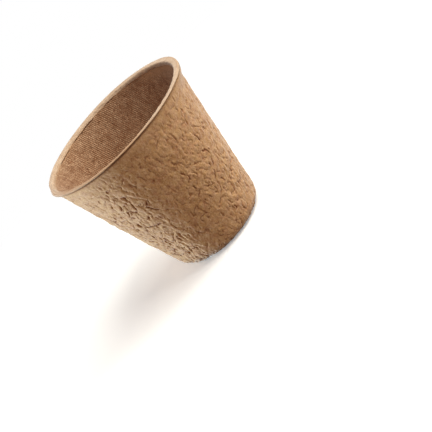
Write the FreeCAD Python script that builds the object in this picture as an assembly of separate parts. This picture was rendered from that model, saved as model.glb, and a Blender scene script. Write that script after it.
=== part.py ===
import FreeCAD, Part
import math
import os

# A round peat pot: a thin tapered cup pressed from wet wood and peat fibre, with a turned-out lip,
# a rounded foot and a slightly raised floor with a drain hole.
# The real pot is one moulding, and the four solids here are its zones, which meet face to face.
# Lengths are in millimetres. +Z points up, and the origin is the middle of the foot, on the ground.

# Wall
mouth_diameter = 66.0
pot_height = 59.0
foot_line_diameter = 39.0
wall_thickness = 1.5

# Lip
lip_projection = 1.0
lip_thickness = 1.4
lip_edge_radius = 0.45
mouth_edge_radius = 0.8
ledge_depth = 1.7
ledge_width = 0.25

# Foot and floor
foot_corner_radius = 5.4
inside_corner_radius = 4.0
floor_thickness = 1.6
foot_ring_width = 3.0
floor_rise = 1.5
floor_bend_radius = 5.0
drain_hole_diameter = 8.0

# The outer wall is a straight line from the foot line on the ground to the underside of the lip.
lip_underside = pot_height - lip_thickness
neck_radius = mouth_diameter / 2 - lip_projection
wall_slope = (neck_radius - foot_line_diameter / 2) / lip_underside
wall_lean = math.atan(wall_slope)
ledge_height = pot_height - ledge_depth


def outer_radius(height):
    """Radius of the outer wall line: it grows steadily with height."""
    return foot_line_diameter / 2 + wall_slope * height


def inner_radius(height):
    """Radius of the inner wall line, which is the outer one moved in square to the wall."""
    return outer_radius(height) - wall_thickness / math.cos(wall_lean)


def at(radius, height):
    """A point of a section, on the half plane through the pot's axis."""
    return FreeCAD.Vector(radius, 0, height)


def on_arc(centre, radius, angle):
    """The point of a section at a distance from a centre, at an angle above the level."""
    return at(centre.x + radius * math.cos(angle), centre.z + radius * math.sin(angle))


def line(start, end):
    return Part.LineSegment(start, end).toShape()


def arc(centre, radius, start_angle, end_angle):
    """A round edge about a centre, from one angle above the level to another."""
    start = on_arc(centre, radius, start_angle)
    middle = on_arc(centre, radius, (start_angle + end_angle) / 2)
    end = on_arc(centre, radius, end_angle)
    return Part.Arc(start, middle, end).toShape()


def turned(edges):
    """The solid that a closed section sweeps in one full turn about the pot's axis."""
    section = Part.Face(Part.Wire(edges))
    axis_point = FreeCAD.Vector()
    axis = FreeCAD.Vector(0, 0, 1)
    return section.revolve(axis_point, axis, 360)


# Each corner arc touches the flat below it and the leaning wall beside it, so its centre stands
# one radius above the flat and one radius inside the wall.
foot_centre = at(
    outer_radius(foot_corner_radius) - foot_corner_radius / math.cos(wall_lean),
    foot_corner_radius,
)
inside_centre_height = floor_thickness + inside_corner_radius
inside_centre = at(
    inner_radius(inside_centre_height) - inside_corner_radius / math.cos(wall_lean),
    inside_centre_height,
)
straight_down = -math.pi / 2
square_to_wall = -wall_lean
foot_top_outside = on_arc(foot_centre, foot_corner_radius, square_to_wall)
foot_top_inside = on_arc(inside_centre, inside_corner_radius, square_to_wall)
floor_radius = foot_centre.x - foot_ring_width
neck_outside = at(neck_radius, lip_underside)
neck_inside = at(inner_radius(ledge_height), ledge_height)


def rim_lip():
    """The pressed rim: a flat top, a lip turned out past the wall and a small ledge inside."""
    mouth_radius = mouth_diameter / 2
    throat_radius = neck_inside.x - ledge_width
    edge_x = mouth_radius - lip_edge_radius
    lower_edge = at(edge_x, lip_underside + lip_edge_radius)
    upper_edge = at(edge_x, pot_height - lip_edge_radius)
    inner_edge = at(throat_radius + mouth_edge_radius, pot_height - mouth_edge_radius)
    edges = [
        line(neck_outside, at(edge_x, lip_underside)),
        arc(lower_edge, lip_edge_radius, straight_down, 0),
        line(on_arc(lower_edge, lip_edge_radius, 0), on_arc(upper_edge, lip_edge_radius, 0)),
        arc(upper_edge, lip_edge_radius, 0, math.pi / 2),
        line(at(edge_x, pot_height), at(inner_edge.x, pot_height)),
        arc(inner_edge, mouth_edge_radius, math.pi / 2, math.pi),
        line(at(throat_radius, inner_edge.z), at(throat_radius, ledge_height)),
        line(at(throat_radius, ledge_height), neck_inside),
        line(neck_inside, neck_outside),
    ]
    return turned(edges)


def side_wall():
    """The leaning wall, of one thickness from the top of the foot corner to the neck."""
    edges = [
        line(foot_top_outside, neck_outside),
        line(neck_outside, neck_inside),
        line(neck_inside, foot_top_inside),
        line(foot_top_inside, foot_top_outside),
    ]
    return turned(edges)


def base_heel():
    """The rounded foot corner and the flat ring that the pot stands on."""
    ring_outer = at(foot_centre.x, 0)
    ring_inner = at(floor_radius, 0)
    inside_ring_outer = at(inside_centre.x, floor_thickness)
    inside_ring_inner = at(floor_radius, floor_thickness)
    edges = [
        line(ring_inner, ring_outer),
        arc(foot_centre, foot_corner_radius, straight_down, square_to_wall),
        line(foot_top_outside, foot_top_inside),
        arc(inside_centre, inside_corner_radius, square_to_wall, straight_down),
        line(inside_ring_outer, inside_ring_inner),
        line(inside_ring_inner, ring_inner),
    ]
    return turned(edges)


def raised_line(height):
    """A smooth rise from the floor's edge to the drain hole: a small hollow arc, then a wide crown arc.

    The two arcs touch where the line between their centres crosses them. That line is as long as
    the sum of the two radii, which the floor's radius and its rise settle.
    """
    centre_distance = (floor_radius ** 2 + floor_rise ** 2) / (2 * floor_rise)
    crown_radius = centre_distance - floor_bend_radius
    turn = math.asin(floor_radius / centre_distance)
    hole_angle = math.acos(drain_hole_diameter / 2 / crown_radius)
    hollow_centre = at(floor_radius, height + floor_bend_radius)
    crown_centre = at(0, height + floor_rise - crown_radius)
    hollow = arc(hollow_centre, floor_bend_radius, straight_down, straight_down - turn)
    crown = arc(crown_centre, crown_radius, math.pi / 2 - turn, hole_angle)
    return [hollow, crown]


def base_floor():
    """The floor inside the foot ring, raised in the middle, with its drain hole."""
    under = raised_line(0)
    over = raised_line(floor_thickness)
    hole_wall = line(under[-1].Vertexes[-1].Point, over[-1].Vertexes[-1].Point)
    outer_wall = line(at(floor_radius, floor_thickness), at(floor_radius, 0))
    over.reverse()
    return turned(under + [hole_wall] + over + [outer_wall])


nodes = {
    "rim_lip": rim_lip(),
    "side_wall": side_wall(),
    "base_heel": base_heel(),
    "base_floor": base_floor(),
}

os.makedirs("parts", exist_ok=True)
for name, shape in nodes.items():
    shape.exportStep(f"parts/{name}.step")
    print(name, "solids", len(shape.Solids), "valid", shape.isValid(), "volume", round(shape.Volume, 2))
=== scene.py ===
# %% [markdown]
# This lesson dresses a small peat pot: a thin tapered cup pressed from wet peat and wood fibre.
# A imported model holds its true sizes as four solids, one for each zone of the moulding: the rim, the
# wall, the foot and the floor. The looks are made around that frame and never move it.
# %% Load the frame
import itertools
import math
import bpy
import numpy as np
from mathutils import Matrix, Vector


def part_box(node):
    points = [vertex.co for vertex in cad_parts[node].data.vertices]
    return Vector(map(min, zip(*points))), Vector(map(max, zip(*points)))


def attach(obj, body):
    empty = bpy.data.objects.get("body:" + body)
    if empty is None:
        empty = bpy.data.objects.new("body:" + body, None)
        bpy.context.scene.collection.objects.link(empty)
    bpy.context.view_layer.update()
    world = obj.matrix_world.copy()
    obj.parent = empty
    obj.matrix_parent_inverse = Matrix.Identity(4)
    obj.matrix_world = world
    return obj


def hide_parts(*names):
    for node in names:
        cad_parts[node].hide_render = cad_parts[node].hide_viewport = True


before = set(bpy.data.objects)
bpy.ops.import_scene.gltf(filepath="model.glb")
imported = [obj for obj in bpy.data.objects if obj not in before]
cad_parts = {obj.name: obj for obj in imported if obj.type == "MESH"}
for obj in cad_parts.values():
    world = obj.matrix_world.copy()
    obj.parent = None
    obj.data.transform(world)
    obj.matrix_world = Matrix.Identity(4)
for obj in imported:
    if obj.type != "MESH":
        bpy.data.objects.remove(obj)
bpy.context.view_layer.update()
MM = 0.001
print("nodes", sorted(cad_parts))

# %% [markdown]
# The sizes that the looks follow are read from the frame, so that the skin lies on the solids. Only the
# sizes that a box can't tell, such as the wall's thickness and the corner radii, are written here. The
# edge of the mouth is a softer and taller curve than on the solid, as the pressed fibre shows it.
# %% Read the pot's sizes
rim_low, rim_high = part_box("rim_lip")
wall_low, wall_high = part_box("side_wall")
heel_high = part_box("base_heel")[1]
floor_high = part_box("base_floor")[1]

pot_height = rim_high.z
mouth_radius = rim_high.x
neck_radius = wall_high.x
lip_underside = wall_high.z
ledge_height = rim_low.z
foot_top = wall_low.z
foot_top_radius = heel_high.x
floor_radius = floor_high.x
wall_thickness = 1.5 * MM
floor_thickness = 1.6 * MM
foot_corner_radius = 5.4 * MM
inside_corner_radius = 4.0 * MM
floor_bend_radius = 5.0 * MM
drain_hole_radius = 4.0 * MM
lip_edge_radius = 0.45 * MM
mouth_edge_radius = 1.05 * MM
MOUTH_EDGE_TALL = 1.55
ledge_width = 0.25 * MM

wall_slope = (neck_radius - foot_top_radius) / (lip_underside - foot_top)
wall_lean = math.atan(wall_slope)
floor_rise = 1.5 * MM
print("wall leans", round(math.degrees(wall_lean), 2), "degrees")
print("foot ring starts", round(floor_radius / MM, 2), "mm from the axis")

# %% [markdown]
# Every zone is round, so the whole pot is one closed section carried round the axis. The section is a
# list of stretches, each a straight run or a round bend, walked once round the material: out under
# the floor, up the outside, over the rim, down the inside and back to the drain hole. A lathe modifier
# would give the same body, but a section of our own lets each stretch have its own spacing, and every
# point of the skin keeps a known place on it for the relief that comes later.
# %% Tools for a section
def point(radius, height):
    return np.array([radius, height])


def straight(start, end, step):
    """Evenly spaced points of a run: start + share * (end - start), without its last point."""
    count = max(1, round(np.hypot(*(end - start)) / step))
    share = np.arange(count)[:, None] / count
    return start + share * (end - start)


def bend(centre, radius, first, last, step, tall=1.0):
    """Points of a round stretch: centre + radius * (cos angle, tall * sin angle), without the last one."""
    count = max(2, round(abs(last - first) * radius * max(1, tall) / step))
    angle = first + (last - first) * np.arange(count) / count
    return centre + radius * np.stack([np.cos(angle), tall * np.sin(angle)], axis=-1)


def outer_radius(height):
    return foot_top_radius + wall_slope * (height - foot_top)


def inner_radius(height):
    return outer_radius(height) - wall_thickness / math.cos(wall_lean)


def beside_wall(wall_radius, corner_radius, height):
    """The centre, at a height, of a corner that touches the leaning wall from its inner side."""
    return point(wall_radius(height) - corner_radius / math.cos(wall_lean), height)


def on_bend(centre, radius, angle):
    """The point of a bend at an angle above the level."""
    return centre + radius * point(math.cos(angle), math.sin(angle))


# %% Centres of the bends
DOWN = -math.pi / 2
UP = math.pi / 2
square_to_wall = -wall_lean
foot_centre = beside_wall(outer_radius, foot_corner_radius, foot_corner_radius)
inside_centre = beside_wall(inner_radius, inside_corner_radius, floor_thickness + inside_corner_radius)
crown_distance = (floor_radius**2 + floor_rise**2) / (2 * floor_rise)
crown_radius = crown_distance - floor_bend_radius
crown_turn = math.asin(floor_radius / crown_distance)
hole_angle = math.acos(drain_hole_radius / crown_radius)
throat_radius = inner_radius(ledge_height) - ledge_width
edge_x = mouth_radius - lip_edge_radius
mouth_edge = point(throat_radius + mouth_edge_radius, pot_height - MOUTH_EDGE_TALL * mouth_edge_radius)
neck_outside = point(neck_radius, lip_underside)
neck_inside = point(inner_radius(ledge_height), ledge_height)


def crown_centre(height):
    return point(0, height + floor_rise - crown_radius)


def hollow_centre(height):
    return point(floor_radius, height + floor_bend_radius)


# %% Walk the section
FINE = 0.15 * MM
SKIN = 0.26 * MM
INSIDE = 0.6 * MM
THROAT = 4.0 * MM
hole_under = on_bend(crown_centre(0), crown_radius, hole_angle)
hole_over = hole_under + point(0, floor_thickness)
foot_top_outside = on_bend(foot_centre, foot_corner_radius, square_to_wall)
foot_top_inside = on_bend(inside_centre, inside_corner_radius, square_to_wall)
throat_end = point(inner_radius(ledge_height - THROAT), ledge_height - THROAT)
stretches = {
    "crown_under": bend(crown_centre(0), crown_radius, hole_angle, UP - crown_turn, SKIN),
    "hollow_under": bend(hollow_centre(0), floor_bend_radius, DOWN - crown_turn, DOWN, SKIN),
    "foot_ring": straight(point(floor_radius, 0), point(foot_centre[0], 0), SKIN),
    "foot_corner": bend(foot_centre, foot_corner_radius, DOWN, square_to_wall, SKIN),
    "outer_wall": straight(foot_top_outside, neck_outside, SKIN),
    "under_lip": straight(neck_outside, point(edge_x, lip_underside), FINE),
    "lip_lower_edge": bend(point(edge_x, lip_underside + lip_edge_radius), lip_edge_radius, DOWN, 0, FINE),
    "lip_face": straight(point(mouth_radius, lip_underside + lip_edge_radius),
                         point(mouth_radius, pot_height - lip_edge_radius), FINE),
    "lip_upper_edge": bend(point(edge_x, pot_height - lip_edge_radius), lip_edge_radius, 0, UP, FINE),
    "rim_top": straight(point(edge_x, pot_height), point(mouth_edge[0], pot_height), FINE),
    "mouth_edge": bend(mouth_edge, mouth_edge_radius, UP, math.pi, FINE, MOUTH_EDGE_TALL),
    "ledge": straight(point(throat_radius, mouth_edge[1]), neck_inside, 0.5 * FINE),
    "throat": straight(neck_inside, throat_end, SKIN),
    "inner_wall": straight(throat_end, foot_top_inside, INSIDE),
    "inside_corner": bend(inside_centre, inside_corner_radius, square_to_wall, DOWN, INSIDE),
    "inside_ring": straight(point(inside_centre[0], floor_thickness),
                            point(floor_radius, floor_thickness), INSIDE),
    "hollow_over": bend(hollow_centre(floor_thickness), floor_bend_radius, DOWN, DOWN - crown_turn, INSIDE),
    "crown_over": bend(crown_centre(floor_thickness), crown_radius, UP - crown_turn, hole_angle, INSIDE),
    "hole_wall": straight(hole_over, hole_under, SKIN),
}
section = np.concatenate(list(stretches.values()))
point_counts = [len(points) for points in stretches.values()]
first_row = dict(zip(stretches, np.cumsum([0] + point_counts)))
row_count = len(section)
print("section points", row_count, "of which on the outer wall", len(stretches["outer_wall"]))

# %% [markdown]
# The skin is a grid: one direction goes round the pot, the other walks the section. The angle is zero
# at the front and grows towards +X, so a point is (radius * sin, -radius * cos, height).
# %% Lay out the grid
COLUMNS = 800
angle = np.linspace(0, 2 * np.pi, COLUMNS, endpoint=False)[:, None]
radius = np.repeat(section[None, :, 0], COLUMNS, axis=0)
height = np.repeat(section[None, :, 1], COLUMNS, axis=0)
degrees = np.degrees((angle + np.pi) % (2 * np.pi) - np.pi)
depth = pot_height - height
rows = np.arange(row_count)[None, :]


def rows_of(first, last):
    """Ones on the rows from the start of one stretch to the end of another, zeros elsewhere."""
    last_row = first_row[last] + len(stretches[last])
    return ((rows >= first_row[first]) & (rows < last_row)).astype(float)


def ramp(value, start, end):
    """A smooth step from 0 at start to 1 at end: t * t * (3 - 2 * t)."""
    t = np.clip((value - start) / (end - start), 0, 1)
    return t * t * (3 - 2 * t)


def bell(value, centre, width):
    """A smooth bump, 1 at its centre: exp(-((value - centre) / width)^2)."""
    return np.exp(-(((value - centre) / width) ** 2))


def skin_points(stretch=1.0):
    """The grid's points in metres, with their heights divided by a stretch along the pot's axis."""
    return np.stack([radius * np.sin(angle), -radius * np.cos(angle), height / stretch], axis=-1)


outside = rows_of("crown_under", "outer_wall")
on_lip = rows_of("under_lip", "ledge")
inside = rows_of("throat", "crown_over")
print("grid", radius.shape, "points", radius.size)

# %% [markdown]
# Fibre has no regular pattern: its lumps and folds are random but smooth. Gradient noise gives that.
# The corners of a cubic lattice hold random slopes, and a point takes a blend of the eight slopes round
# it. Blender has such noise for shaders, and here it moves real points, so that the relief is in the
# mesh, catches light at its edges and shows in the outline.
# %% Gradient noise
SLOPE_COUNT = 256
HASH_PRIMES = np.array([73856093, 19349663, 83492791])
SEED_PRIME = 2654435761
FULL_RANGE = 1.6
slope_table = np.random.default_rng(7).normal(size=(SLOPE_COUNT, 3))
slope_table /= np.linalg.norm(slope_table, axis=1, keepdims=True)


def gradient_noise(points, seed):
    """Smooth random values of about -1 to 1, for points in units of one lump.

    Each corner of the point's lattice cell adds slope . offset, weighted by 6t^5 - 15t^4 + 10t^3. The
    corner's slope is picked from the table by its cell numbers, each times a prime and mixed bit by bit.
    """
    cell = np.floor(points).astype(np.int64)
    offset = points - cell
    fade = offset**3 * (offset * (offset * 6 - 15) + 10)
    total = np.zeros(points.shape[:-1])
    for corner in itertools.product((0, 1), repeat=3):
        x, y, z = np.moveaxis((cell + corner) * HASH_PRIMES, -1, 0)
        mixed = x ^ y ^ z ^ (seed * SEED_PRIME)
        slopes = slope_table[(mixed ^ (mixed >> 13)) & (SLOPE_COUNT - 1)]
        weight = np.prod(np.where(np.array(corner) == 1, fade, 1 - fade), axis=-1)
        total += weight * ((offset - corner) * slopes).sum(axis=-1)
    return FULL_RANGE * total


def lumps(size_mm, seed, stretch=1.0):
    """Noise on the skin's own points, with lumps of a size in mm, drawn out along the pot's axis."""
    return gradient_noise(skin_points(stretch) / (size_mm * MM), seed)


# %% [markdown]
# The rim isn't turned on a lathe. At the front the lip is crisp and thin, with a deep groove under it,
# and behind it is nearly as crisp. Past the -X end it is soft, and at the +X end it is drawn out a
# little and melts into the wall. Below the soft lip the wall has a slight waist. These are moves of the
# section, made before the relief, because they are shape and not texture.
# %% Shape the rim
def window(value, rise, fall):
    """1 between two ramps: it rises over one pair of angles and falls over the other."""
    return ramp(value, *rise) * (1 - ramp(value, *fall))


full = np.ones_like(radius)
front = window(degrees, (-98, -74), (42, 78))
behind = 0.8 * window(degrees % 360, (120, 150), (205, 235))
crisp = full * (front + behind)
drawn_out = full * ramp(np.sin(angle), -0.2, 1.0)
outer_wall = rows_of("outer_wall", "outer_wall")
lip_thickness = pot_height - lip_underside
thin_lip = 0.45 * MM
end_hangs = 0.5 * MM
raised_down_to = 4.2 * MM
waist_depth = 0.07 * MM
waist_at = 5.0 * MM
waist_width = 1.6 * MM
groove_depth = 0.45 * MM
groove_width = 0.6 * MM

thin_underside = pot_height - thin_lip
lip_drop = full * end_hangs * window(degrees, (-120, -100), (-80, -50))
lip_raise = (thin_underside - lip_drop - lip_underside) * crisp
height = height + lip_raise * outer_wall * (1 - ramp(depth, lip_thickness, raised_down_to))

soft_size = (0.5 + 0.25 * drawn_out) * MM * (1 - crisp)
soft_lip = soft_size * (1 - ramp(depth, 1.6 * MM, (3.5 + 0.6 * drawn_out) * MM))
waist = -waist_depth * bell(depth, waist_at, waist_width)
groove_at = pot_height - lip_drop - height
groove_fade = bell(groove_at, thin_lip, groove_width)
radius = radius + outer_wall * (soft_lip + waist - groove_depth * crisp * groove_fade)
print("lip is crisp on", round(100 * (crisp[:, 0] > 0.5).mean()), "% of the way round")

# %% [markdown]
# Inside, the rim's edge is a tall soft curve that runs out into the wall's own line. The form that
# pressed it left a small step under it, which shows only in places, as short dark lines behind, with
# painted shade under the step. There the curve drops straight down and stands its full way in over the
# wall. Round the +X end the flat top is wider and its corner squarer, so that more of the rim is pale
# there.
# %% Shape the inner edge
STEP_END = 4
# first angle, last angle and share of the step's full depth
step_places = [(-141, -131, 1.0), (-173, -153, 1.0), (164, 171, 0.7), (115, 124, 1.0)]
step_share = sum(share * window(degrees, (first - STEP_END, first), (last, last + STEP_END))
                 for first, last, share in step_places)
edge_rows = rows_of("mouth_edge", "ledge")
standing_in = section[:, 0] - throat_radius
wall_line = inner_radius(section[:, 1]) - throat_radius
rounding = 1 - (inner_radius(pot_height) - throat_radius) / mouth_edge_radius
soft_line = wall_line + rounding * standing_in * rows_of("mouth_edge", "mouth_edge")
square_end = window(degrees, (72, 95), (140, 165))
drawn_back = (1 - np.maximum(step_share, square_end)) * (soft_line - standing_in)


def shifted(bumps):
    """Sum of bells round the pot, each (angle, width in degrees, size in mm)."""
    return sum(size * MM * bell(degrees, turn, width) for turn, width, size in bumps)


mouth_shift = shifted([(-90, 35, 0.3), (-35, 22, 0.2), (40, 14, 0.15), (72, 16, -0.22), (128, 26, -0.5)])
near_the_edge = rows_of("mouth_edge", "inner_wall") * (1 - ramp(depth, 2 * MM, 6 * MM))
near_the_edge += rows_of("rim_top", "rim_top") * (1 - ramp(section[:, 0], mouth_edge[0], edge_x))
radius = radius + edge_rows * drawn_back + near_the_edge * mouth_shift
SQUARENESS = 1.9
curve_height = MOUTH_EDGE_TALL * mouth_edge_radius
dropped = np.clip((pot_height - section[:, 1]) / curve_height, 0, 1) * rows_of("mouth_edge", "mouth_edge")
height = height + square_end * curve_height * (dropped - dropped**SQUARENESS)
slope_at_back = 0.5 * MM * window(degrees % 360, (130, 158), (222, 250))
down_the_slope = rows_of("rim_top", "ledge") * (1 - ramp(section[:, 0], mouth_edge[0], edge_x))
height = height - slope_at_back * down_the_slope * (1 - ramp(depth, 0.6 * MM, 1.6 * MM))
print("mouth's edge moves by up to", round(np.abs(mouth_shift).max() / MM, 2), "mm")

# %% [markdown]
# The crisp lip is a second line for the same rows: from the groove straight out to a thin tip, round the
# tip and up to the flat top. The two lines are blended by the angle round the pot. The lip is also
# narrower at the front. On the -X side it is drawn out, and thicker, with a lower face that leans in.
# Behind, its edge hangs down a little.
# %% Blend in the crisp lip
TIP_RADIUS = 0.18 * MM
TIP_BELOW_TOP = 0.05 * MM
LEAN_SHARE = 0.45
tip_centre = point(mouth_radius - TIP_RADIUS, pot_height - TIP_RADIUS - TIP_BELOW_TOP)
crisp_line = np.concatenate([
    straight(point(neck_radius - groove_depth, thin_underside),
             tip_centre + TIP_RADIUS * point(0, -1), FINE),
    bend(tip_centre, TIP_RADIUS, DOWN, UP, 0.5 * FINE),
    [point(edge_x, pot_height)],
])
lip_first = first_row["under_lip"]
lip_rows = np.arange(lip_first, first_row["rim_top"])
walked = np.concatenate([[0], np.cumsum(np.hypot(*np.diff(crisp_line, axis=0).T))])
places = np.linspace(0, walked[-1], len(lip_rows) + 1)[:-1]
thin_radius = np.interp(places, walked, crisp_line[:, 0])
thin_height = np.interp(places, walked, crisp_line[:, 1])
lip_share = crisp[:, lip_rows]
lower_part = 1 - ramp(thin_height, thin_underside, tip_centre[1] + 0.5 * TIP_RADIUS)
thin_height = thin_height - lip_drop[:, lip_rows] * lower_part
leaning_in = LEAN_SHARE * lower_part * ramp(thin_radius, neck_radius - groove_depth, tip_centre[0])
thin_radius = thin_radius - leaning_in * lip_drop[:, lip_rows]
neck_share = 1 - ramp(section[lip_rows, 0], neck_radius, edge_x)
below_lip_face = lip_rows < first_row["lip_face"]
thick_radius = radius[:, lip_rows] + neck_share * soft_size[:, lip_rows] * below_lip_face
radius[:, lip_rows] = thick_radius * (1 - lip_share) + thin_radius * lip_share
height[:, lip_rows] = height[:, lip_rows] * (1 - lip_share) + thin_height * lip_share

outwards = ramp(radius, mouth_edge[0], mouth_radius) * rows_of("under_lip", "rim_top")
lip_shift = shifted([(-77, 19, 0.57), (-92, 8, -0.52), (-4, 28, -0.75)])
hangs_all_round = 0.04 * MM
hangs_behind = 0.16 * MM * window(degrees % 360, (102, 128), (218, 240))
radius = radius + lip_shift * outwards
height = height - (hangs_behind + hangs_all_round) * outwards
print("crisp lip is", round(thin_lip / MM, 2), "mm thick, on", len(lip_rows), "rows")

# %% [markdown]
# Pressing and drying also leave the pot slightly out of true: the mouth is pulled towards +X, the wall
# bellies a little on the other side, and the front of the rim sags. A sine or cosine of the angle does
# each, since it meets itself after a full turn.
# %% Bend the body a little
near_mouth = 1 - ramp(depth, 2 * MM, 7 * MM)
low_wall = bell(height, 28 * MM, 15 * MM)
mouth_pull = 0.2 * MM * (1 + np.sin(angle)) + 0.04 * MM * np.cos(3 * angle + 2.0)
belly = MM * (0.18 - 0.1 * np.sin(angle))
sag = -0.15 * MM * (1 + np.cos(angle)) + 0.03 * MM * np.sin(5 * angle)
radius = radius + near_mouth * mouth_pull + low_wall * belly
height = height + (1 - ramp(depth, 0, 12 * MM)) * sag
print("lip stands out", round(radius[:, first_row["rim_top"]].max() / MM, 2), "mm from the axis")

# %% [markdown]
# Where the wet mat dried over nothing, on the outside, its fibres shrank into short folds, most of them
# along the wall. The clearest, about sixty, are placed one by one where they are seen, and many small ones
# are drawn at random. Each is a groove with a raised shoulder on both sides, on a slightly bent line.
# Sculpting them by hand would be slow to change, and as strokes pressed into the grid they stay a list.
# %% Draw the creases
creases = np.zeros_like(radius)
shoulders = np.zeros_like(radius)
wall_first = first_row["hollow_under"]
wall_last = first_row["under_lip"]
path = np.concatenate([[0], np.cumsum(np.hypot(*np.diff(section, axis=0).T))])
RAGGED = 0.13
RAGGED_SIZE = 0.9
GROOVE_SHARE = 1.05
SHOULDER_SHARE = 0.22
SHOULDER_PLACE = 2.1
SHOULDER_WIDTH = 1.2


def crease(turn, rise, length, lean, bow, width, fold):
    """Press one fold into the grid.

    turn is its angle round the pot and rise its height; lean is its angle from the wall's own line.
    In the fold's own axes its line is bow * (1 - (2a / length)^2), made ragged by a little noise. Its
    depth falls off as exp(-(off / (width / 2 + 0.1))^2) to the sides, off being the distance from the
    line, and as 1 - (2a / length)^3 to the ends. Each shoulder is a bell, SHOULDER_PLACE widths off
    the line. The shares are of fold, the depth in mm.
    """
    off_height = np.abs(section[wall_first:wall_last, 1] - rise * MM)
    under_floor = section[wall_first:wall_last, 0] < floor_radius
    row = wall_first + np.argmin(np.where(under_floor, np.inf, off_height))
    reach = (length / 2 + abs(bow) + 4 * width) * MM
    span = np.flatnonzero(np.abs(path - path[row]) < reach)
    span = span[(span >= wall_first) & (span < wall_last)]
    half_turn = reach / section[span, 0].min()
    centre = math.radians(turn)
    column = np.arange(math.floor((centre - half_turn) / (2 * np.pi) * COLUMNS),
                       math.ceil((centre + half_turn) / (2 * np.pi) * COLUMNS) + 1)
    sideways = (column[:, None] * 2 * np.pi / COLUMNS - centre) * section[None, span, 0] / MM
    upward = np.repeat((path[span] - path[row])[None, :] / MM, len(column), axis=0)
    along = upward * math.cos(math.radians(lean)) + sideways * math.sin(math.radians(lean))
    across = sideways * math.cos(math.radians(lean)) - upward * math.sin(math.radians(lean))
    place = np.stack([sideways, upward, 0 * upward + rise], axis=-1)
    ragged = RAGGED * gradient_noise(place / RAGGED_SIZE, 5)
    share = np.clip(1 - np.abs(2 * along / length) ** 3, 0, 1)
    off = np.abs(across - bow * (1 - (2 * along / length) ** 2) + ragged)
    block = np.ix_(column % COLUMNS, span)
    groove = GROOVE_SHARE * fold * share * bell(off, 0, 0.5 * width + 0.1)
    creases[block] = np.maximum(creases[block], groove)
    shoulder = SHOULDER_SHARE * fold * share * bell(off, SHOULDER_PLACE * width, SHOULDER_WIDTH * width)
    shoulders[block] = np.maximum(shoulders[block], shoulder)


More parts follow.
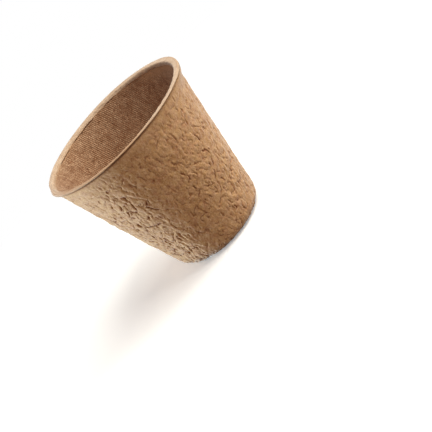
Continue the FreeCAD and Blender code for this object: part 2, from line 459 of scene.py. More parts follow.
# %% Place the creases
# turn, rise, length, lean, bow, width and fold; angles in degrees, sizes in millimetres
placed = [
    (41.8, 55.6, 2.2, 8, 0.1, 0.24, 0.34),
    (38.6, 51.9, 2.2, -14, 0.2, 0.24, 0.22),
    (42.2, 50.3, 2.2, -6, 0.1, 0.24, 0.32),
    (39.3, 46.1, 3.6, 20, -0.2, 0.26, 0.42),
    (44.0, 41.0, 7.0, -43, 0.3, 0.20, 0.20),
    (13.0, 53.4, 1.8, -12, 0.1, 0.28, 0.24),
    (11.0, 50.5, 4.8, 54, -0.3, 0.22, 0.26),
    (3.5, 46.6, 2.4, -2, 0.1, 0.20, 0.24),
    (22.5, 46.8, 5.2, 0, 0.1, 0.26, 0.24),
    (22.0, 44.9, 1.6, 4, 0.0, 0.36, 0.19),
    (27.2, 43.3, 2.0, -6, -0.2, 0.24, 0.30),
    (37.4, 38.8, 5.0, -8, 0.5, 0.24, 0.34),
    (38.6, 36.0, 1.2, 30, 0.1, 0.40, 0.19),
    (17.0, 37.4, 1.4, 12, 0.0, 0.40, 0.22),
    (31.3, 38.0, 1.3, -10, 0.0, 0.40, 0.19),
    (8.8, 35.2, 3.4, -20, 0.1, 0.28, 0.34),
    (10.2, 32.4, 2.6, 14, 0.2, 0.30, 0.36),
    (15.3, 31.4, 3.6, -20, 0.6, 0.24, 0.30),
    (21.2, 33.6, 3.2, -46, 0.1, 0.18, 0.22),
    (37.6, 32.4, 2.8, -19, 0.1, 0.28, 0.36),
    (40.0, 32.2, 1.8, -23, 0.1, 0.26, 0.28),
    (8.0, 28.1, 2.6, -8, 0.1, 0.30, 0.38),
    (6.8, 25.1, 3.6, 56, 0.2, 0.24, 0.32),
    (18.8, 24.0, 5.4, -52, -0.4, 0.18, 0.20),
    (34.8, 28.4, 3.4, 24, 0.4, 0.24, 0.28),
    (28.9, 24.7, 4.0, 30, 0.2, 0.30, 0.46),
    (31.5, 28.9, 1.3, 0, 0.0, 0.42, 0.20),
    (23.2, 27.1, 1.2, 10, 0.0, 0.38, 0.19),
    (32.2, 20.2, 3.2, -14, 0.3, 0.26, 0.34),
    (12.1, 20.8, 2.2, -15, 0.2, 0.28, 0.30),
    (23.5, 9.3, 2.8, -16, 0.3, 0.28, 0.36),
    (30.8, 5.4, 1.6, -27, 0.1, 0.26, 0.28),
    (45.4, 13.2, 2.0, -23, 0.2, 0.28, 0.32),
    (-37.4, 53.0, 2.0, 4, 0.1, 0.36, 0.16),
    (-36.5, 50.5, 1.8, -16, -0.3, 0.24, 0.22),
    (-49.0, 48.9, 1.3, 0, 0.0, 0.44, 0.18),
    (-40.0, 48.6, 2.8, 14, 0.1, 0.40, 0.19),
    (-60.0, 47.2, 1.5, 20, 0.0, 0.40, 0.17),
    (-37.4, 46.4, 1.6, -10, 0.1, 0.24, 0.28),
    (-33.4, 43.9, 3.4, 11, 0.2, 0.30, 0.30),
    (-34.2, 39.4, 4.6, 13, -0.2, 0.30, 0.35),
    (-43.4, 41.6, 3.2, 33, 0.4, 0.30, 0.33),
    (-38.8, 41.6, 1.3, 20, 0.0, 0.44, 0.20),
    (-43.7, 37.8, 3.2, 27, 0.2, 0.34, 0.37),
    (-59.2, 38.2, 2.8, 20, 0.1, 0.34, 0.35),
    (-52.4, 37.7, 1.8, 31, 0.1, 0.36, 0.22),
    (-30.0, 38.2, 1.6, -80, 0.1, 0.24, 0.33),
    (-26.0, 37.0, 2.8, 38, 0.1, 0.28, 0.40),
    (-27.6, 35.6, 2.0, -34, 0.1, 0.30, 0.50),
    (-25.0, 33.2, 3.4, -34, -0.2, 0.24, 0.36),
    (-35.4, 31.8, 2.0, 28, 0.1, 0.42, 0.33),
    (-31.8, 31.4, 1.4, 10, 0.0, 0.40, 0.23),
    (-55.0, 34.6, 1.8, 10, 0.1, 0.42, 0.26),
    (-48.3, 31.0, 2.6, -14, -0.2, 0.36, 0.40),
    (-45.6, 29.0, 2.4, -52, -0.1, 0.26, 0.46),
    (-40.6, 27.7, 3.6, -74, 0.1, 0.22, 0.42),
    (-34.6, 26.9, 3.2, -82, 0.1, 0.22, 0.38),
    (-28.2, 29.0, 2.2, -10, 0.1, 0.36, 0.26),
    (-56.0, 29.4, 2.2, -46, 0.1, 0.34, 0.42),
    (-49.3, 27.0, 1.4, 0, 0.0, 0.42, 0.24),
    (-59.0, 26.4, 2.0, 20, 0.1, 0.40, 0.27),
    (-53.0, 23.0, 2.4, 16, 0.2, 0.34, 0.38),
]
for fold in placed:
    crease(*fold)

rng = np.random.default_rng(23)
SMALL_CREASES = 1500
for _ in range(SMALL_CREASES):
    rise = rng.uniform(0.6, pot_height / MM - 3.0)
    if rng.random() > 0.35 + 0.65 * rise / (pot_height / MM):
        continue
    calm_top = 1 - 0.65 * float(ramp(rise, 48, 56))
    length = rng.lognormal(0.45, 0.42)
    crease(rng.uniform(-180, 180), rise, length, rng.normal(4, 24), rng.normal(0, 0.08 * length),
           rng.uniform(0.2, 0.34), calm_top * rng.uniform(0.07, 0.23))
covered = (creases > 0.08).mean()
print("creases: deepest", round(creases.max(), 2), "mm, covering", round(100 * covered, 1), "% of the grid")

# %% [markdown]
# Between the folds the outside is like crumpled felt. It has broad soft lumps, small dimples drawn out
# along the wall, and pillows of fibre with thin wandering valleys between them: the size of a noise,
# without its sign, is such a pillow, with its valleys where the noise is zero. The relief is strongest low
# on the -X side and quiet just under the lip. The inside dried against a fine screen, so it is nearly
# smooth, with a few pits. The rim was pressed hardest and is the smoothest.
# %% Model the outer relief
patchy = 1.0 + 0.4 * lumps(13, 11)
strong_side = 0.52 * bell(degrees, -58, 28) * ramp(depth, 13 * MM, 26 * MM)
strong_side = strong_side + 0.3 * window(degrees, (5, 25), (60, 80)) * (1 - ramp(height, 12 * MM, 22 * MM))
smooth_top = 0.55 + 0.25 * window(degrees, (42, 65), (105, 130))
smooth_top = smooth_top - 0.2 * window(degrees, (-110, -95), (-60, -35))
top_fade = 1 - smooth_top * (1 - ramp(depth, 2.0 * MM, 7.5 * MM))
calm_side = 0.14 * bell(degrees, -45, 25) * (1 - ramp(depth, 16 * MM, 24 * MM))
strength = (patchy + strong_side - calm_side) * top_fade


def wandering(size_mm, seed, stretch):
    """Noise whose own places are shifted by slower noise, so that its zero lines wander like wrinkles."""
    shift = np.stack([lumps(2.6, seed + step) for step in (31, 32, 33)], axis=-1)
    return gradient_noise(skin_points(stretch) / MM / size_mm + 0.3 * shift, seed)


# each term is a depth in millimetres times a noise of its own lump size, seed and stretch
broad = 0.11 * lumps(4.4, 1, 1.2) + 0.12 * lumps(2.6, 2, 1.3)
wrinkle_noise = wandering(2.2, 4, 1.9)
small_noise = wandering(1.15, 40, 1.8)
pillows = 0.26 * np.abs(wrinkle_noise) + 0.10 * np.abs(small_noise) - 0.10
wrinkles = bell(wrinkle_noise, 0, 0.14) * ramp(lumps(1.9, 6), -0.05, 0.35)
dimple_noise = lumps(1.5, 3, 1.6) + 0.45 * lumps(0.75, 10, 1.4)
dimples = ramp(dimple_noise, 0.1, 0.9) * (0.4 + 0.6 * ramp(strong_side, 0, 0.25))
fine = 0.03 * lumps(0.85, 7, 2.0) + 0.02 * lumps(0.5, 17, 1.8)
outer_relief = strength * (broad + pillows + fine - 0.12 * wrinkles - 0.14 * dimples)
outer_relief += 0.8 * shoulders - creases + 0.05
print("outer relief is", round(np.ptp(outer_relief * outside), 2), "mm from its lowest to its highest")


# %% [markdown]
# Along the rim run two fine marks of the press: a seam on its flat top round the -X end, and the crease
# under the step inside. Both are shallow grooves, and both are later given painted shade. Where one zone's
# relief ends and the next one's starts, their shares are averaged over a few rows, so that no edge shows
# between them.
# %% Model the rim and the inside
def smooth_rows(values, passes):
    """Average each row with its neighbours along the section, as often as asked."""
    for _ in range(passes):
        values = (np.roll(values, 1, axis=1) + 2 * values + np.roll(values, -1, axis=1)) / 4
    return values


edge_relief = 0.12 * lumps(1.7, 18, 0.7) + 0.07 * lumps(0.8, 19)
rim_relief = 0.04 * lumps(3.2, 8) + 0.015 * lumps(0.8, 9) + edge_rows * edge_relief
seam_radius = mouth_edge[0] + 0.35 * MM
seam_place = bell(section[:, 0], seam_radius, 0.25 * MM) * rows_of("rim_top", "mouth_edge")
rim_seam = seam_place * window(degrees, (-135, -115), (-62, -45))
rim_relief = rim_relief - 0.09 * rim_seam
pits = ramp(lumps(1.2, 12), 0.52, 0.8)
inner_relief = 0.06 * lumps(5.5, 13) + 0.035 * lumps(1.3, 14) - 0.14 * pits
round_noise = gradient_noise(np.stack([14 * np.sin(angle), 14 * np.cos(angle), 0 * angle], axis=-1), 15)
ledge_line = bell(rows, first_row["ledge"] + 1, 2.2)
ledge_crease = ledge_line * step_share * ramp(round_noise, -0.6, 0.1)
MEETING_PASSES = 3
share_out = smooth_rows(outside * full, MEETING_PASSES)
share_in = smooth_rows(inside * full, MEETING_PASSES)
share_rim = 1 - np.clip(share_out + share_in, 0, 1)
relief = share_out * outer_relief + share_rim * rim_relief + share_in * inner_relief - 0.25 * ledge_crease
below_the_step = bell(depth, 2.3 * MM, 0.3 * MM) * step_share * inside
relief += 0.08 * below_the_step
print("relief from", round(relief.min(), 2), "to", round(relief.max(), 2), "mm")

# %% [markdown]
# The relief is pushed out along the normals of the smooth body. Every row and column of the grid is
# closed, so a normal is the cross product of the two differences between a point's neighbours.
# %% Push out the relief
def grid_normals(grid):
    """Unit normals: the difference round the pot crossed with the difference along the section."""
    round_the_pot = np.roll(grid, -1, axis=0) - np.roll(grid, 1, axis=0)
    along_section = np.roll(grid, -1, axis=1) - np.roll(grid, 1, axis=1)
    normal = np.cross(round_the_pot, along_section)
    return normal / np.linalg.norm(normal, axis=-1, keepdims=True)


body = skin_points()
skin = body + grid_normals(body) * (relief * MM)[..., None]
skin[..., 2] = np.maximum(skin[..., 2], 0)
skin_normals = grid_normals(skin)
print("skin spans", np.round((skin.reshape(-1, 3).max(0) - skin.reshape(-1, 3).min(0)) / MM, 2), "mm")

# %% [markdown]
# The finish needs to know two things of every point. One is how hard the fibre was pressed there: hard
# on the rim, which is pale, and less on the lip along the front of the -X side, behind, and down the
# inner curve, which stay brown. The inside is paler near the mouth, and at the +X end it is painted paler
# still, as painted light that offsets the shade under the overhanging rim. The other is how deep the point
# lies in a fold, a pit or the groove under the lip: the finishes paint shade by it, and a painted shadow
# in the groove. Both could be painted on by brush. Worked out from the same arrays as the relief, they
# can't slip off the folds.
# %% Tell how hard the fibre is pressed
near_top = 1 - ramp(depth, 1.2 * MM, 4.5 * MM)
brown_lip = 0.7 * window(degrees, (-82, -58), (-5, 28))
brown_lip = np.maximum(brown_lip, 0.7 * window(degrees, (-130, -95), (-60, -40))
                       * ramp(outwards, 0.45, 0.9))
brown_lip = np.maximum(brown_lip, 0.4 * window(degrees, (55, 75), (100, 125))
                       * ramp(outwards, 0.5, 0.95))
brown_back = window(degrees % 360, (180, 205), (218, 232))
brown_back = np.maximum(brown_back, 0.6 * window(degrees, (-130, -110), (-72, -55)))
pale_back = window(degrees, (80, 98), (145, 170))
curve_brown = 0.6 + 0.35 * brown_back - 0.5 * pale_back
down_the_curve = curve_brown * edge_rows * ramp(depth, (0.5 - 0.35 * brown_back) * MM, 1.9 * MM)
# At the +X end the inside is painted paler near the mouth: painted light that offsets the shade under the
# overhanging rim.
painted_light_at_end = window(degrees, (62, 85), (122, 152))
pale_inside = (0.3 + 0.6 * painted_light_at_end) * (1 - ramp(depth, 1.2 * MM, (4.5 + 3.5 * painted_light_at_end) * MM))
pressed = on_lip * (1 - brown_lip) * (1 - down_the_curve) + 0.55 * near_top * outside + pale_inside * inside
print("pressed on the rim, on average", round((pressed * on_lip).sum() / on_lip.sum() / COLUMNS, 2))

# %% Paint shade by how deep each point lies
# Painted shade: the outside is darkened by the depth of its folds, wrinkle valleys and dimples.
shade = outside * (creases / 0.35 + strength * top_fade * (0.6 * wrinkles + 0.35 * dimples))
# The line under the crisp lip is a painted shadow, lower and wider round the -X front.
wide_line = window(degrees, (-110, -90), (-45, -15))
line_at = (0.8 + 0.25 * wide_line) * MM
line_width = (0.4 + 0.05 * wide_line) * MM
groove_rows = bell(groove_at, line_at, line_width) * outer_wall
# How dark that painted shadow is: darkest round the -X front, lighter on the +X front.
painted_groove_shadow = 1.4 + 0.15 * window(degrees, (-110, -90), (-40, -10))
painted_groove_shadow = painted_groove_shadow - 0.75 * window(degrees, (5, 32), (90, 100))
# Painted shade also goes into the pits inside, under the step and in the rim's seam.
shade = np.clip(shade + 0.8 * pits * inside + ledge_crease + 0.25 * rim_seam, 0, 1)
shade = np.maximum(shade, painted_groove_shadow * crisp * groove_rows)
# The underside of the lip, and the low edge of its face on the -X front, are painted dark too, as the
# shadow under the lip.
left_front = (degrees > -90) & (degrees < 0)
painted_shadow_under_edge = np.where(left_front, 1.0, crisp) * rows_of("under_lip", "under_lip")
painted_shadow_under_edge[:, lip_rows] += ramp(lower_part, 0.5, 0.9) * window(degrees, (-96, -84), (-66, -45))
shade = np.maximum(shade, painted_groove_shadow * np.clip(painted_shadow_under_edge, 0, 1))
print("shade at its deepest, under the lip", round(shade.max(), 2))

# %% [markdown]
# The inside takes the weave of a flat screen rolled into a cone. To lay that pattern without stretch,
# the wall is unrolled: a point at slant distance s from the cone's tip, at angle a round the axis, goes
# to the flat place at distance s and angle a * sin(lean). The floor keeps its plan view.
# %% Unroll the inside
def unrolled(column_angle, row):
    """Flat places, in metres, of the skin's rows at some angles round the pot."""
    if row >= first_row["inside_corner"]:
        return section[row, 0] * np.stack([np.sin(column_angle), np.cos(column_angle)], axis=-1)
    slant = section[row, 0] / math.sin(wall_lean)
    flat_angle = column_angle * math.sin(wall_lean)
    return slant * np.stack([np.sin(flat_angle), np.cos(flat_angle)], axis=-1)


# %% [markdown]
# Each zone becomes a closed ring of its own: its runs of the grid, joined by hidden faces through the
# wall's thickness. Neighbouring zones share the same rows, so no gap or step shows between them, and
# the normals of the whole grid are kept on the outer faces, so no seam shows in the light either. The
# wall is the finest zone and is made as three bands, to keep each mesh a moderate size.
# %% Build one zone
JOINT_ROWS = 2


def zone(name, runs, replaced):
    """A closed ring from runs of section rows, each (first, last), walked in the section's own order."""
    parts, normals, values, flats, sides, hidden = [], [], [], [], [], []
    for index, (first, last) in enumerate(runs):
        span = np.arange(first, last + 1) % row_count
        after = runs[(index + 1) % len(runs)][0] % row_count
        share = np.arange(1, JOINT_ROWS + 1)[:, None] / (JOINT_ROWS + 1)
        joint = skin[:, span[-1:]] * (1 - share) + skin[:, after][:, None] * share
        parts += [skin[:, span], joint]
        normals += [skin_normals[:, span], np.zeros_like(joint)]
        values += [np.stack([shade[:, span], pressed[:, span]], axis=-1), np.zeros(joint.shape[:2] + (2,))]
        flats += list(span) + [span[-1]] * JOINT_ROWS
        inner = span >= first_row["ledge"]
        sides += list(inner.astype(int)) + [0] * JOINT_ROWS
        hidden += [False] * (len(span) - 1) + [True] * (JOINT_ROWS + 1)
    grid = np.concatenate(parts, axis=1)
    return ring_mesh(name, grid, np.concatenate(normals, axis=1), np.concatenate(values, axis=1),
                     flats, np.array(sides), np.array(hidden), replaced)


def ring_mesh(name, grid, normals, values, flats, sides, hidden, replaced):
    """A mesh of one quad for each grid cell, closed both ways, with its normals, values and flat map."""
    columns, count = grid.shape[:2]
    number = np.arange(columns * count).reshape(columns, count)
    corners = np.stack([number, np.roll(number, -1, 0), np.roll(np.roll(number, -1, 0), -1, 1),
                        np.roll(number, -1, 1)], axis=-1).reshape(-1, 4)
    mesh = bpy.data.meshes.new(name)
    mesh.vertices.add(columns * count)
    mesh.vertices.foreach_set("co", grid.astype(np.float32).ravel())
    mesh.loops.add(corners.size)
    mesh.loops.foreach_set("vertex_index", corners.astype(np.int32).ravel())
    mesh.polygons.add(len(corners))
    mesh.polygons.foreach_set("loop_start", np.arange(0, corners.size, 4, dtype=np.int32))
    face_hidden = np.tile(hidden, columns)
    face_side = np.tile(sides, columns)
    mesh.polygons.foreach_set("material_index", face_side.astype(np.int32))
    mesh.update(calc_edges=True)
    mesh.polygons.foreach_set("use_smooth", ~face_hidden)
    corner_normals = normals.reshape(-1, 3)[corners.ravel()].reshape(-1, 4, 3)
    corner_normals[face_hidden] = 0
    for index, title in enumerate(("crease", "pressed")):
        attribute = mesh.attributes.new(title, "FLOAT", "POINT")
        attribute.data.foreach_set("value", values[..., index].astype(np.float32).ravel())
    turns = np.linspace(0, 2 * np.pi, columns + 1)
    sheet = np.stack([unrolled(turns, row) for row in flats], axis=1)
    left = sheet[:-1]
    right = sheet[1:]
    flat = np.stack([left, right, np.roll(right, -1, 1), np.roll(left, -1, 1)], axis=2)
    layer = mesh.uv_layers.new(name="unrolled")
    layer.data.foreach_set("uv", flat.astype(np.float32).ravel())
    mesh.normals_split_custom_set(corner_normals.reshape(-1, 3))
    piece = bpy.data.objects.new(name, mesh)
    bpy.context.scene.collection.objects.link(piece)
    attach(piece, "root")
    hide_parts(replaced)
    print(name, "triangles", 2 * len(corners))
    return piece


# %% Build the zones
foot_row = first_row["outer_wall"]
neck_row = first_row["under_lip"]
inner_neck_row = first_row["throat"]
inner_foot_row = first_row["inside_corner"]
floor_row = first_row["foot_ring"]
inner_floor_row = first_row["hollow_over"]
bands = ("wall_lower_band", "wall_middle_band", "wall_upper_band")
outer_cuts = np.linspace(foot_row, neck_row, len(bands) + 1).astype(int)
inner_cuts = np.linspace(inner_foot_row, inner_neck_row, len(bands) + 1).astype(int)

rim = zone("rim", [(neck_row, inner_neck_row)], "rim_lip")
pieces = [rim]
for index, title in enumerate(bands):
    outer_run = (outer_cuts[index], outer_cuts[index + 1])
    inner_run = (inner_cuts[index + 1], inner_cuts[index])
    pieces.append(zone(title, [outer_run, inner_run], "side_wall"))
foot_runs = [(floor_row, foot_row), (inner_foot_row, inner_floor_row)]
pieces.append(zone("foot", foot_runs, "base_heel"))
floor_runs = [(inner_floor_row, floor_row + row_count)]
pieces.append(zone("pot_floor", floor_runs, "base_floor"))


# %% [markdown]
# Colours are written as the sRGB hex values that a colour picker shows, and shaders work in linear
# light, so one function turns one into the other. One more adds a node with its settings and links.
# %% Colour and node helpers
def linear(hex_colour):
    """Linear red, green, blue and alpha from sRGB hex: ((c + 0.055) / 1.055) ** 2.4 above 0.04045."""
    codes = [int(hex_colour[i:i + 2], 16) / 255 for i in (1, 3, 5)]
    return [c / 12.92 if c <= 0.04045 else ((c + 0.055) / 1.055) ** 2.4 for c in codes] + [1.0]


def add_node(tree, kind, inputs=None, **settings):
    """Add a node, set its properties, and give each named input a value or a link from an output socket."""
    node = tree.nodes.new(kind)
    for key, value in settings.items():
        setattr(node, key, value)
    for key, value in (inputs or {}).items():
        socket = node.inputs[key]
        if isinstance(value, bpy.types.NodeSocket):
            tree.links.new(value, socket)
        else:
            socket.default_value = value
    return node


def new_material(name):
    material = bpy.data.materials.new(name)
    material.use_nodes = True
    material.node_tree.nodes.clear()
    return material, material.node_tree


# %% [markdown]
# Moulded peat and wood fibre is dull all over: light sinks in between loose fibres, so the roughness is
# near 1 and hardly any gloss is left. Loose fibre ends stand up like the nap of felt, and the sheen layer
# gives their pale glow where the surface turns away. In the folds the nap is pressed flat, so the sheen
# is weaker there. All three finishes are built alike: noises of several lump sizes, colours laid over one
# another by them, and fine bumps. Most real fibres are under 0.1 mm thick, too fine to show here, so the
# fibre grain is drawn 0.3 to 0.45 mm coarse. The crease value carries painted shade, which darker coats
# lay into the folds. The painted shadow under the lip is darker than any fold's shade, so there the
# crease value goes past 1, where two darker coats start.
# %% Build one fibre finish
PER_MM = 1 / MM
DRAWN_OUT = 0.6
WAVE_RATE = 20
# the two coats of the painted shadow in the groove under the lip
PAINTED_GROOVE_SHADOW_COATS = [("crease", 1.0, 1.4, 0, 0.85, "#4E2D18"), ("crease", 1.4, 1.8, 0, 0.85, "#2E1A0D")]


def fibre_material(name, first_colour, grains, coats, bumps, wires=(),
                   roughness=0.92, gloss=0.2, sheen=0.6):
    """A dull fibre material.

    grains: title, lump size in mm and detail of a noise. wires: title, spacing in mm and direction in
    degrees of straight lines on the unrolled wall. coats: the title of a value, its low and high, how much
    of the coat shows at each, and its colour. bumps: the title of a value and its depth in mm. gloss is
    the strength of the plain reflection, 0.5 for a smooth dry surface. A wave of scale 1 turns
    WAVE_RATE radians in a metre.
    """
    material, tree = new_material(name)
    place = add_node(tree, "ShaderNodeTexCoord").outputs["Object"]
    place = add_node(tree, "ShaderNodeMapping", {"Vector": place, "Scale": (1, 1, DRAWN_OUT)}).outputs[0]
    values = {}
    for title in ("crease", "pressed"):
        values[title] = add_node(tree, "ShaderNodeAttribute", attribute_name=title).outputs["Fac"]
    for seed, (title, size_mm, detail) in enumerate(grains):
        noise = add_node(tree, "ShaderNodeTexNoise",
                         {"Vector": place, "Scale": PER_MM / size_mm, "Detail": detail,
                          "Roughness": 0.6, "W": seed}, noise_dimensions="4D")
        values[title] = noise.outputs[0]
    for title, spacing, turn in wires:
        flat = add_node(tree, "ShaderNodeUVMap", uv_map="unrolled").outputs[0]
        rotation = (0, 0, math.radians(turn))
        turned = add_node(tree, "ShaderNodeMapping", {"Vector": flat, "Rotation": rotation}).outputs[0]
        wave = add_node(tree, "ShaderNodeTexWave",
                        {"Vector": turned, "Scale": 2 * math.pi / WAVE_RATE * PER_MM / spacing,
                         "Distortion": 1.6, "Detail": 1.0, "Detail Scale": 1.5}, bands_direction="X")
        values[title] = wave.outputs["Fac"]
    colour = linear(first_colour)
    for title, low, high, share_low, share_high, hex_colour in coats:
        share = add_node(tree, "ShaderNodeMapRange",
                         {"Value": values[title], "From Min": low, "From Max": high,
                          "To Min": share_low, "To Max": share_high}).outputs[0]
        layers = {0: share, 6: colour, 7: linear(hex_colour)}
        colour = add_node(tree, "ShaderNodeMix", layers, data_type="RGBA").outputs[2]
    normal = add_node(tree, "ShaderNodeNewGeometry").outputs["Normal"]
    for title, depth_mm in bumps:
        normal = add_node(tree, "ShaderNodeBump", {"Height": values[title], "Distance": depth_mm * MM,
                                                   "Normal": normal}).outputs[0]
    nap = add_node(tree, "ShaderNodeMapRange", {"Value": values["crease"], "From Min": 0.1, "From Max": 1.4,
                                                "To Min": sheen, "To Max": 0.0}).outputs[0]
    shader = add_node(tree, "ShaderNodeBsdfPrincipled",
                      {"Base Color": colour, "Roughness": roughness, "Specular IOR Level": gloss,
                       "Sheen Weight": nap, "Sheen Roughness": 0.42, "Normal": normal})
    add_node(tree, "ShaderNodeOutputMaterial", {"Surface": shader.outputs[0]})
    print(name, "has", len(tree.nodes), "nodes")
    return material


# %% [markdown]
# Outside, the fibre is a kraft tan, mottled in patches of a few millimetres, with a yellower or a pinker
# tint in places, and paler on the clumps. Painted shade darkens it in the folds, and a painted shadow
# under the lip.
# %% Moulded fibre of the outside
outer_finish = fibre_material(
    "moulded_peat_fibre", "#CC9E74",
    grains=[("patches", 9.0, 2), ("clumps", 2.2, 3), ("fibres", 0.42, 3), ("folds", 0.8, 4),
            ("hue", 1.4, 2)],
    coats=[("patches", 0.35, 0.65, 0, 1, "#D7AB83"),
           ("clumps", 0.35, 0.65, 0.65, 0, "#AA7248"),
           ("hue", 0.42, 0.62, 0, 0.5, "#CFA36B"),
           ("hue", 0.3, 0.45, 0.35, 0, "#C08866"),
           ("fibres", 0.5, 0.72, 0, 0.65, "#E6C7A2"),
           ("fibres", 0.28, 0.5, 0.6, 0, "#9C6741"),
           # painted shade in the folds, wrinkles and dimples
           ("crease", 0.1, 1.0, 0, 0.85, "#783F20"),
           *PAINTED_GROOVE_SHADOW_COATS,
           ("pressed", 0, 1, 0, 0.5, "#CBA27C")],
    bumps=[("folds", 0.105)], gloss=0.04)

# %% [markdown]
# The inside was drawn against a woven wire screen, whose imprint stays in the dry fibre as fine
# diagonal lines, 0.74 mm apart one way and 0.66 mm apart the other. Both sets are straight on the
# unrolled wall, so they swing round as they go about the pot.
# %% Screen-marked fibre of the inside
inner_finish = fibre_material(
    "screen_marked_fibre", "#E8BB95",
    grains=[("patches", 8.0, 2), ("clumps", 1.5, 2), ("fibres", 0.33, 2)],
    wires=[("one_way", 0.74, 53.7), ("other_way", 0.66, 104.7)],
    coats=[("patches", 0.35, 0.65, 0, 1, "#F2CAA5"),
           ("clumps", 0.35, 0.65, 0.75, 0, "#9A6640"),
           ("fibres", 0.35, 0.6, 0.65, 0, "#7D5638"),
           ("fibres", 0.5, 0.7, 0, 0.6, "#E6C4A0"),
           ("one_way", 0.2, 0.8, 0.58, 0, "#6A4229"),
           ("other_way", 0.2, 0.8, 0.45, 0, "#6A4229"),
           # painted shade in the pits and under the step
           ("crease", 0.1, 1.0, 0, 0.8, "#6E452A"),
           ("pressed", 0, 1, 0, 0.8, "#CBA27C")],
    bumps=[("one_way", 0.032), ("other_way", 0.026), ("fibres", 0.045)], sheen=0.3)

# %% [markdown]
# The rim was pressed hardest. It is smoother and a little paler than the wall, with only fine fibre in it.
# Where it was pressed less it stays brown: down its inner curve, along the front on the -X side, and on
# the edge of the lip at both ends.
# %% Pressed fibre of the rim
rim_finish = fibre_material(
    "pressed_rim_fibre", "#C5AA90",
    grains=[("patches", 4.0, 2), ("fibres", 0.45, 3)],
    coats=[("patches", 0.35, 0.65, 0, 1, "#D0B79E"),
           ("pressed", 0, 1, 1, 0, "#AE835A"),
           ("fibres", 0.3, 0.6, 0.4, 0, "#A47E5C"),
           # painted shade in the seam and under the step, and the painted shadow under the lip
           ("crease", 0.1, 1.0, 0, 0.8, "#6E452A"),
           *PAINTED_GROOVE_SHADOW_COATS],
    bumps=[("fibres", 0.05)], roughness=0.85, sheen=0.45)

# %% [markdown]
# Each zone has two material slots, the first for the rows of its outer side and the second for those of
# its inner side. The rim is one finish all over.
# %% Dress the zones
for piece in pieces:
    for finish in (outer_finish, inner_finish):
        piece.data.materials.append(rim_finish if piece == rim else finish)
print("materials", [material.name for material in bpy.data.materials if material.users])

# %% [markdown]
# The floor is a plain pale sheet. To the camera it is lifted a little and fades to white away from the
# pot, so that the background is white while the pot keeps its own shadow. To every other ray it is a
# darker beige, so that it throws only a little warm light up at the wall.
# %% Floor
FLOOR_HALF = 2.0
WHITE_FROM = 0.05
WHITE_AT = 0.22
LIFT = 0.3
floor_mesh = bpy.data.meshes.new("studio_floor")
floor_mesh.from_pydata([(-FLOOR_HALF, -FLOOR_HALF, 0), (FLOOR_HALF, -FLOOR_HALF, 0),
                        (FLOOR_HALF, FLOOR_HALF, 0), (-FLOOR_HALF, FLOOR_HALF, 0)], [], [(0, 1, 2, 3)])
studio_floor = bpy.data.objects.new("studio_floor", floor_mesh)
bpy.context.scene.collection.objects.link(studio_floor)

paper, tree = new_material("pale_studio_paper")
place = add_node(tree, "ShaderNodeTexCoord").outputs["Object"]
away = add_node(tree, "ShaderNodeVectorMath", {0: place}, operation="LENGTH").outputs["Value"]
fade_range = {"Value": away, "From Min": WHITE_FROM, "From Max": WHITE_AT}
far = add_node(tree, "ShaderNodeMapRange", fade_range).outputs[0]
to_camera = add_node(tree, "ShaderNodeLightPath").outputs["Is Camera Ray"]
fade = add_node(tree, "ShaderNodeMath", {0: far, 1: to_camera}, operation="MULTIPLY").outputs[0]
paper_colours = {0: to_camera, 6: linear("#9C9184"), 7: linear("#F4F4F4")}
paper_colour = add_node(tree, "ShaderNodeMix", paper_colours, data_type="RGBA").outputs[2]
matt = add_node(tree, "ShaderNodeBsdfDiffuse", {"Color": paper_colour}).outputs[0]
lift = add_node(tree, "ShaderNodeMath", {0: to_camera, 1: LIFT}, operation="MULTIPLY").outputs[0]
glow = add_node(tree, "ShaderNodeEmission", {"Color": (1, 1, 1, 1), "Strength": lift}).outputs[0]
lit = add_node(tree, "ShaderNodeAddShader", {0: matt, 1: glow}).outputs[0]
white = add_node(tree, "ShaderNodeEmission", {"Color": (1, 1, 1, 1), "Strength": 1.0}).outputs[0]
surface = add_node(tree, "ShaderNodeMixShader", {0: fade, 1: lit, 2: white}).outputs[0]
add_node(tree, "ShaderNodeOutputMaterial", {"Surface": surface})
floor_mesh.materials.append(paper)

# %% [markdown]
# The light is a soft studio set. A key lamp stands on the right and above, and models the rim and the
# right side. A low lamp on each side rakes along the wall and brings out its relief, but is too low
# to shine into the pot. A high lamp at the front right fills the mouth and glances down the front, which
# otherwise has only the weak, warm surround.
# %% Lights
AIM_HEIGHT = 0.04


def area_light(name, turn, rise, distance, size, share, tint):
    """A lamp facing a point on the pot's axis, from an angle round it and an angle above the level.

    size is its width and height in metres. share is the part of full brightness that it gives to a
    surface facing it: a white sheet renders white at share 1, for a power of share * pi^2 * distance^2.
    """
    lamp = bpy.data.lights.new(name, "AREA")
    lamp.shape = "RECTANGLE"
    lamp.size, lamp.size_y = size
    lamp.energy = share * (math.pi * distance) ** 2
    lamp.color = tint
    light = bpy.data.objects.new(name, lamp)
    bpy.context.scene.collection.objects.link(light)
    around = math.radians(turn)
    above = math.radians(rise)
    level = distance * math.cos(above)
    lamp_height = AIM_HEIGHT + distance * math.sin(above)
    light.location = (level * math.sin(around), -level * math.cos(around), lamp_height)
    light.rotation_euler = (math.pi / 2 - above, 0, around)
    print(name, "lamp stands at", [round(value, 3) for value in light.location], "m")


area_light("key", 98, 35, 1.2, (0.9, 0.9), 0.65, (1.0, 0.99, 0.88))
area_light("right_rake", 80, 1.5, 1.1, (0.35, 0.06), 0.15, (0.80, 0.96, 1.0))
area_light("left_rake", -108, -0.6, 1.0, (0.35, 0.05), 1.74, (0.67, 0.87, 1.0))
area_light("mouth_fill", 58, 60, 1.2, (0.7, 0.7), 0.76, (1.0, 0.96, 0.85))

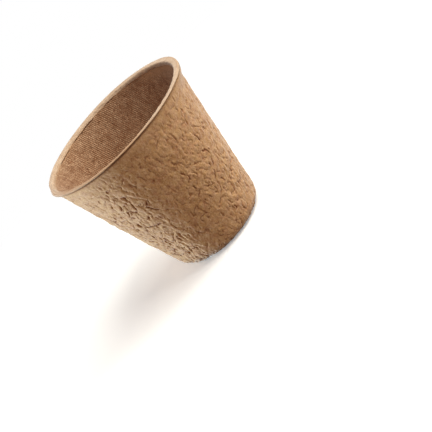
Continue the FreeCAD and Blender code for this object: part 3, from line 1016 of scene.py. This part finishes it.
# %% [markdown]
# The room round the pot is a weak warm surround, as white paper all about would give. The camera, and
# any ray seen by way of gloss or glass, meets plain white instead, so the background is white.
# %% Surround
SURROUND_STRENGTH = 0.31
world = bpy.data.worlds.new("studio_surround")
bpy.context.scene.world = world
world.use_nodes = True
tree = world.node_tree
tree.nodes.clear()
paths = add_node(tree, "ShaderNodeLightPath").outputs
seen = paths["Is Camera Ray"]
for kind in ("Is Glossy Ray", "Is Transmission Ray"):
    seen = add_node(tree, "ShaderNodeMath", {0: seen, 1: paths[kind]}, operation="MAXIMUM").outputs[0]
warm = {"Color": (1.0, 0.89, 0.87, 1), "Strength": SURROUND_STRENGTH}
dim = add_node(tree, "ShaderNodeBackground", warm).outputs[0]
bright = add_node(tree, "ShaderNodeBackground", {"Color": (1, 1, 1, 1), "Strength": 1.0}).outputs[0]
surface = add_node(tree, "ShaderNodeMixShader", {0: seen, 1: dim, 2: bright}).outputs[0]
add_node(tree, "ShaderNodeOutputWorld", {"Surface": surface})

# %% [markdown]
# The camera looks down at the mouth and is rolled, so that the pot leans to the left in the picture
# with its foot at the lower right. Its matrix is built from the way it looks, and from the level line
# across that way, turned about it by the roll.
# %% Camera
SENSOR_MM = 36
LENS_MM = 108.33
CAMERA_BACK = 0.45696
CAMERA_ABOVE_RIM = 0.13105
look_down = math.radians(22.106)
look_aside = math.radians(0.175)
roll = math.radians(47.36)
camera_data = bpy.data.cameras.new("camera")
camera_data.sensor_width = SENSOR_MM
camera_data.lens = LENS_MM
camera = bpy.data.objects.new("camera", camera_data)
bpy.context.scene.collection.objects.link(camera)
bpy.context.scene.camera = camera
camera.location = (0, -CAMERA_BACK, pot_height + CAMERA_ABOVE_RIM)
forward = np.array([math.sin(look_aside) * math.cos(look_down), math.cos(look_aside) * math.cos(look_down),
                    -math.sin(look_down)])
level = np.array([math.cos(look_aside), -math.sin(look_aside), 0])
upright = np.cross(level, forward)
right = level * math.cos(roll) - upright * math.sin(roll)
top = np.cross(right, forward)
turn_matrix = np.eye(4)
turn_matrix[:3, 0] = right
turn_matrix[:3, 1] = top
turn_matrix[:3, 2] = -forward
turn_matrix[:3, 3] = camera.location
camera.matrix_world = [list(row) for row in turn_matrix.T]
bpy.context.scene.view_settings.view_transform = "Standard"
print("camera is", round(float(np.linalg.norm(camera.location)), 3), "m from the foot of the pot")
